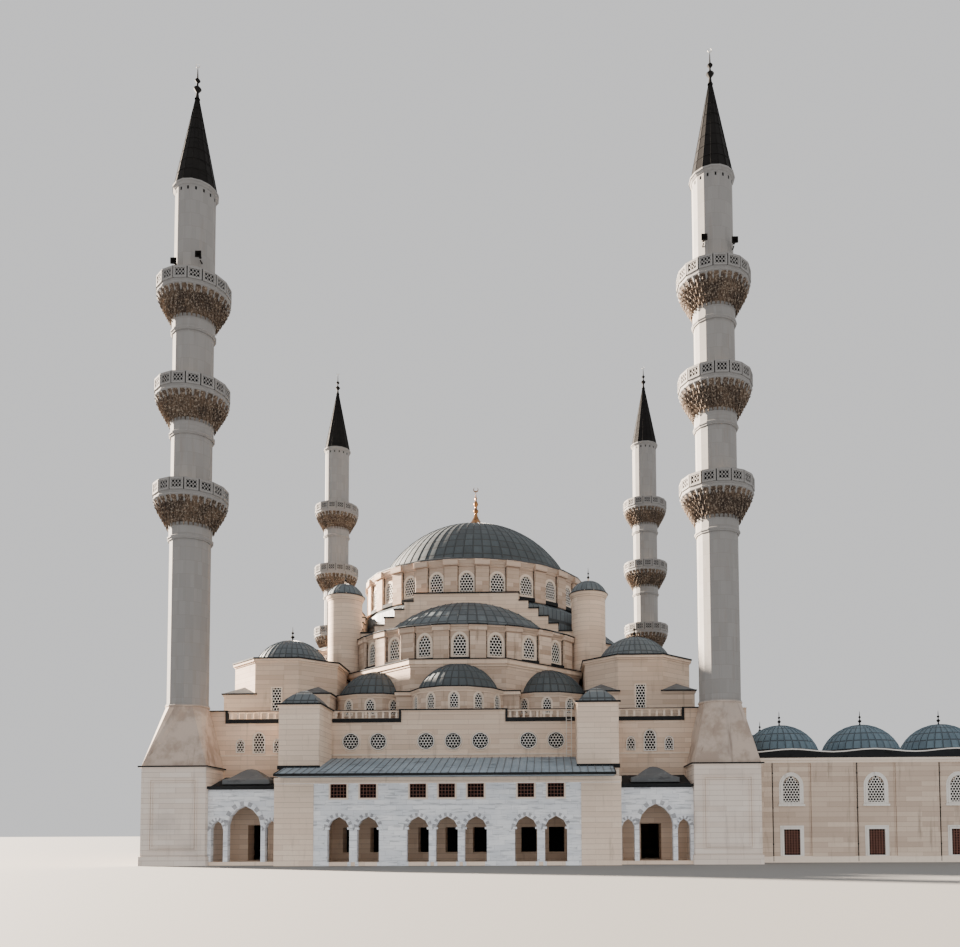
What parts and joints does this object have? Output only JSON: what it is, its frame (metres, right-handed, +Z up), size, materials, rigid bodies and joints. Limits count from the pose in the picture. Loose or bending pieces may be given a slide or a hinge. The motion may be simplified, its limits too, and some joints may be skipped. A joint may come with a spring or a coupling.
{
  "type": "domed mosque building, 1:10 scale model",
  "caption": "Scale model of a stone mosque: square hall under a lead dome and half domes, slender minarets, side galleries and a domed court.",
  "frame": {"origin": "centre of the square hall, on the ground", "axes": "+Z up, +X from the hall towards the courtyard, -Y towards the side gallery that faces the viewer"},
  "size_m": [9.1132, 6.32, 6.985],
  "materials": {
    "stone": "coursed limestone",
    "marble": "grey-veined marble",
    "pale_stone": "pale limestone",
    "lead": "weathered lead sheet",
    "dark_lead": "dark lead sheet",
    "copper": "gilded copper",
    "glass": "dark glazing"
  },
  "bodies": {
    "root": {"ground_floor": "stone", "near_wall": "stone", "far_wall": "stone", "right_wall": "stone", "left_wall": "stone", "near_arcade": "marble", "far_arcade": "marble", "near_gallery_roof": "lead", "far_gallery_roof": "lead", "near_left_bay_roof": "lead", "near_right_bay_roof": "lead", "far_left_bay_roof": "lead", "far_right_bay_roof": "lead", "near_window_glass": "glass", "far_window_glass": "glass", "right_window_glass": "glass", "left_window_glass": "glass", "roof_deck": "lead", "near_half_drum": "stone", "right_half_drum": "stone", "far_half_drum": "stone", "left_half_drum": "stone", "near_half_dome": "lead", "right_half_dome": "lead", "far_half_dome": "lead", "left_half_dome": "lead", "near_exedra_roofs": "lead", "right_exedra_roofs": "lead", "far_exedra_roofs": "lead", "left_exedra_roofs": "lead", "near_left_minaret": "pale_stone", "near_right_minaret": "pale_stone", "far_left_minaret": "pale_stone", "far_right_minaret": "pale_stone", "near_left_spire": "dark_lead", "near_right_spire": "dark_lead", "far_left_spire": "dark_lead", "far_right_spire": "dark_lead", "near_left_corner_tower": "stone", "near_right_corner_tower": "stone", "far_left_corner_tower": "stone", "far_right_corner_tower": "stone", "near_left_corner_dome": "lead", "near_right_corner_dome": "lead", "far_left_corner_dome": "lead", "far_right_corner_dome": "lead", "central_block": "stone", "main_drum": "stone", "main_dome": "lead", "main_finial": "copper", "courtyard_walls": "stone", "courtyard_roof": "lead"}
  },
  "joints": []
}
